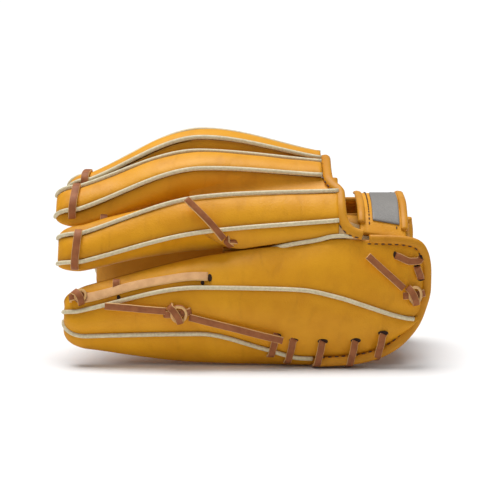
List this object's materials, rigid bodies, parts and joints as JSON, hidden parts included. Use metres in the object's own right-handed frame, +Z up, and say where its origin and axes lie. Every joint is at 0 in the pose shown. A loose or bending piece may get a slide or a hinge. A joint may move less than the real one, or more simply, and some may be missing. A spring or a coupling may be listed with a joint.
{
  "type": "baseball glove",
  "caption": "Leather baseball glove standing palm down, with piped finger backs, laced web, padded palm, hinged thumb and little finger flaps and a wrist strap.",
  "frame": {"origin": "middle of the glove's outline, on the surface that it stands on", "axes": "+X from the fingertips to the wrist, -Y toward the little finger's side, +Z up"},
  "size_m": [0.2893, 0.1643, 0.1718],
  "materials": {
    "shell_leather": "satin, oiled golden leather",
    "palm_leather": "satin, slightly darkened by use",
    "binding_leather": "satin, rolled edge",
    "lace": "smooth grain one side, suede the other",
    "piping": "smooth cream piping",
    "felt": "pressed wool felt",
    "palm_lining": "soft matt lining leather",
    "black_lining": "matt black lining",
    "patch": "plain pale patch, no lettering"
  },
  "bodies": {
    "hand": {"back_lining": "black_lining", "crotch_knot": "lace", "crotch_tail": "lace", "finger_lace": "lace", "fingertip_lace": "lace", "index_back": "shell_leather", "index_front": "palm_leather", "index_middle_gusset": "shell_leather", "index_sides": "shell_leather", "index_welts": "piping", "middle_back": "shell_leather", "middle_front": "palm_leather", "middle_ring_gusset": "shell_leather", "middle_sides": "shell_leather", "middle_welts": "piping", "opening_binding": "binding_leather", "palm": "palm_leather", "palm_felt": "felt", "palm_heel_binding": "binding_leather", "palm_lining": "palm_lining", "ring_back": "shell_leather", "ring_front": "palm_leather", "ring_gusset": "shell_leather", "ring_sides": "shell_leather", "ring_welts": "piping", "thumb_heel_panel": "shell_leather", "thumb_side_back": "shell_leather", "web_base_bar": "shell_leather", "web_lace": "lace", "web_post": "shell_leather", "web_top_bar": "shell_leather"},
    "pinky_flap": {"pinky_back": "shell_leather", "pinky_felt": "felt", "pinky_front": "palm_leather", "pinky_heel_binding": "binding_leather", "pinky_lace_knot": "lace", "pinky_lace_strip": "lace", "pinky_left_tail": "lace", "pinky_lower_side": "shell_leather", "pinky_palm": "palm_leather", "pinky_right_tail": "lace", "pinky_stud_lace": "lace", "pinky_tip_knot": "lace", "pinky_upper_side": "shell_leather", "pinky_welts": "piping", "heel_knot": "lace", "heel_tail": "lace", "wrist_lace": "lace", "heel_lace": "lace"},
    "thumb_flap": {"thumb_back": "shell_leather", "thumb_upper_side": "shell_leather", "thumb_lower_side": "shell_leather", "thumb_welts": "piping", "thumb_front": "palm_leather", "thumb_palm": "palm_leather", "thumb_felt": "felt", "thumb_heel_binding": "binding_leather"},
    "wrist_strap_body": {"wrist_strap": "shell_leather", "strap_lining": "black_lining", "strap_patch": "patch"}
  },
  "joints": [
    {"name": "little_finger_fold", "type": "hinge", "parent": "hand", "child": "pinky_flap", "pos_m": [0, -0.0515, 0.086], "axis": [1, 0, 0], "range_deg": [-10, 10], "stiffness_Nm_per_rad": 8},
    {"name": "thumb_fold", "type": "hinge", "parent": "hand", "child": "thumb_flap", "pos_m": [0, 0.0485, 0.1], "axis": [1, 0, 0], "range_deg": [-20, 15], "stiffness_Nm_per_rad": 8},
    {"name": "strap_lift", "type": "hinge", "parent": "hand", "child": "wrist_strap_body", "pos_m": [0, 0.0585, 0.117], "axis": [-1, 0, 0], "range_deg": [0, 8], "stiffness_Nm_per_rad": 0.5}
  ]
}
